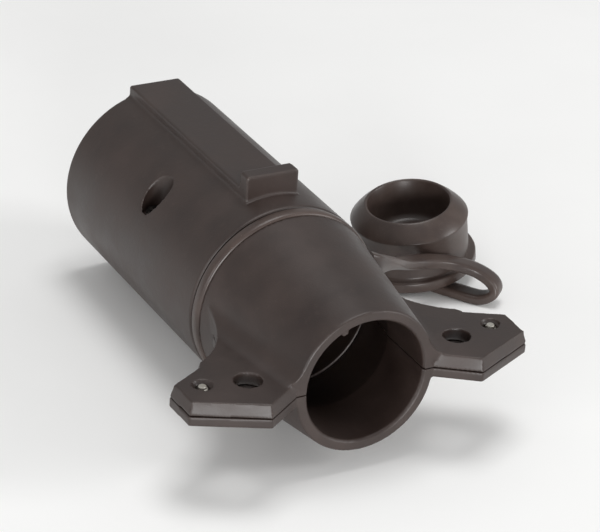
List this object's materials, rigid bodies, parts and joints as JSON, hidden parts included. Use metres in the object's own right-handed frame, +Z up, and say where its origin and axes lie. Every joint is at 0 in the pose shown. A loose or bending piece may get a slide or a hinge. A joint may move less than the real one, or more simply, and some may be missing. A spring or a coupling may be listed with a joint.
{
  "type": "trailer wiring plug",
  "caption": "Trailer-end wiring plug: keyed round barrel with a lid catch, tapered neck split by a two-screw clamp with wings, blade contacts in a block, and a tethered rubber plug.",
  "frame": {"origin": "centre of the cable opening, on the barrel's axis", "axes": "+Y along the barrel from the cable opening to the mating rim, +Z up through the key rib, +X towards the tethered plug"},
  "size_m": [0.1177, 0.1156, 0.0516],
  "materials": {
    "moulded_plastic": "moulded, semi-matte, very dark warm grey",
    "insert_plastic": "moulded, matte black",
    "rubber": "moulded rubber, satin",
    "zinc_steel": "zinc plated",
    "black_steel": "black oxide",
    "contact_brass": "stamped brass strip"
  },
  "bodies": {
    "shell": {"housing": "moulded_plastic", "lower_clamp": "moulded_plastic", "clamp_screws": "zinc_steel", "contact_block": "insert_plastic", "block_screw": "black_steel", "centre_contact": "contact_brass", "contact_1": "contact_brass", "contact_2": "contact_brass", "contact_3": "contact_brass", "contact_4": "contact_brass", "contact_5": "contact_brass", "contact_6": "contact_brass", "terminal_screw_1": "zinc_steel", "terminal_screw_2": "zinc_steel", "terminal_screw_3": "zinc_steel", "terminal_screw_4": "zinc_steel", "terminal_screw_5": "zinc_steel", "terminal_screw_6": "zinc_steel", "terminal_screw_7": "zinc_steel"},
    "ring": {"tether_ring": "rubber"},
    "plug": {"tether_strap": "rubber", "cable_plug": "rubber"}
  },
  "joints": [
    {"name": "ring_turn", "type": "hinge", "parent": "shell", "child": "ring", "pos_m": [0, 0.0388, 0], "axis": [0, 1, 0], "continuous": true},
    {"name": "plug_swing", "type": "hinge", "parent": "ring", "child": "plug", "pos_m": [0.0248, 0.0388, 0.0042], "axis": [0, -1, 0], "range_deg": [-15, 75], "stiffness_Nm_per_rad": 0.03, "deforming": ["tether_strap"]}
  ]
}
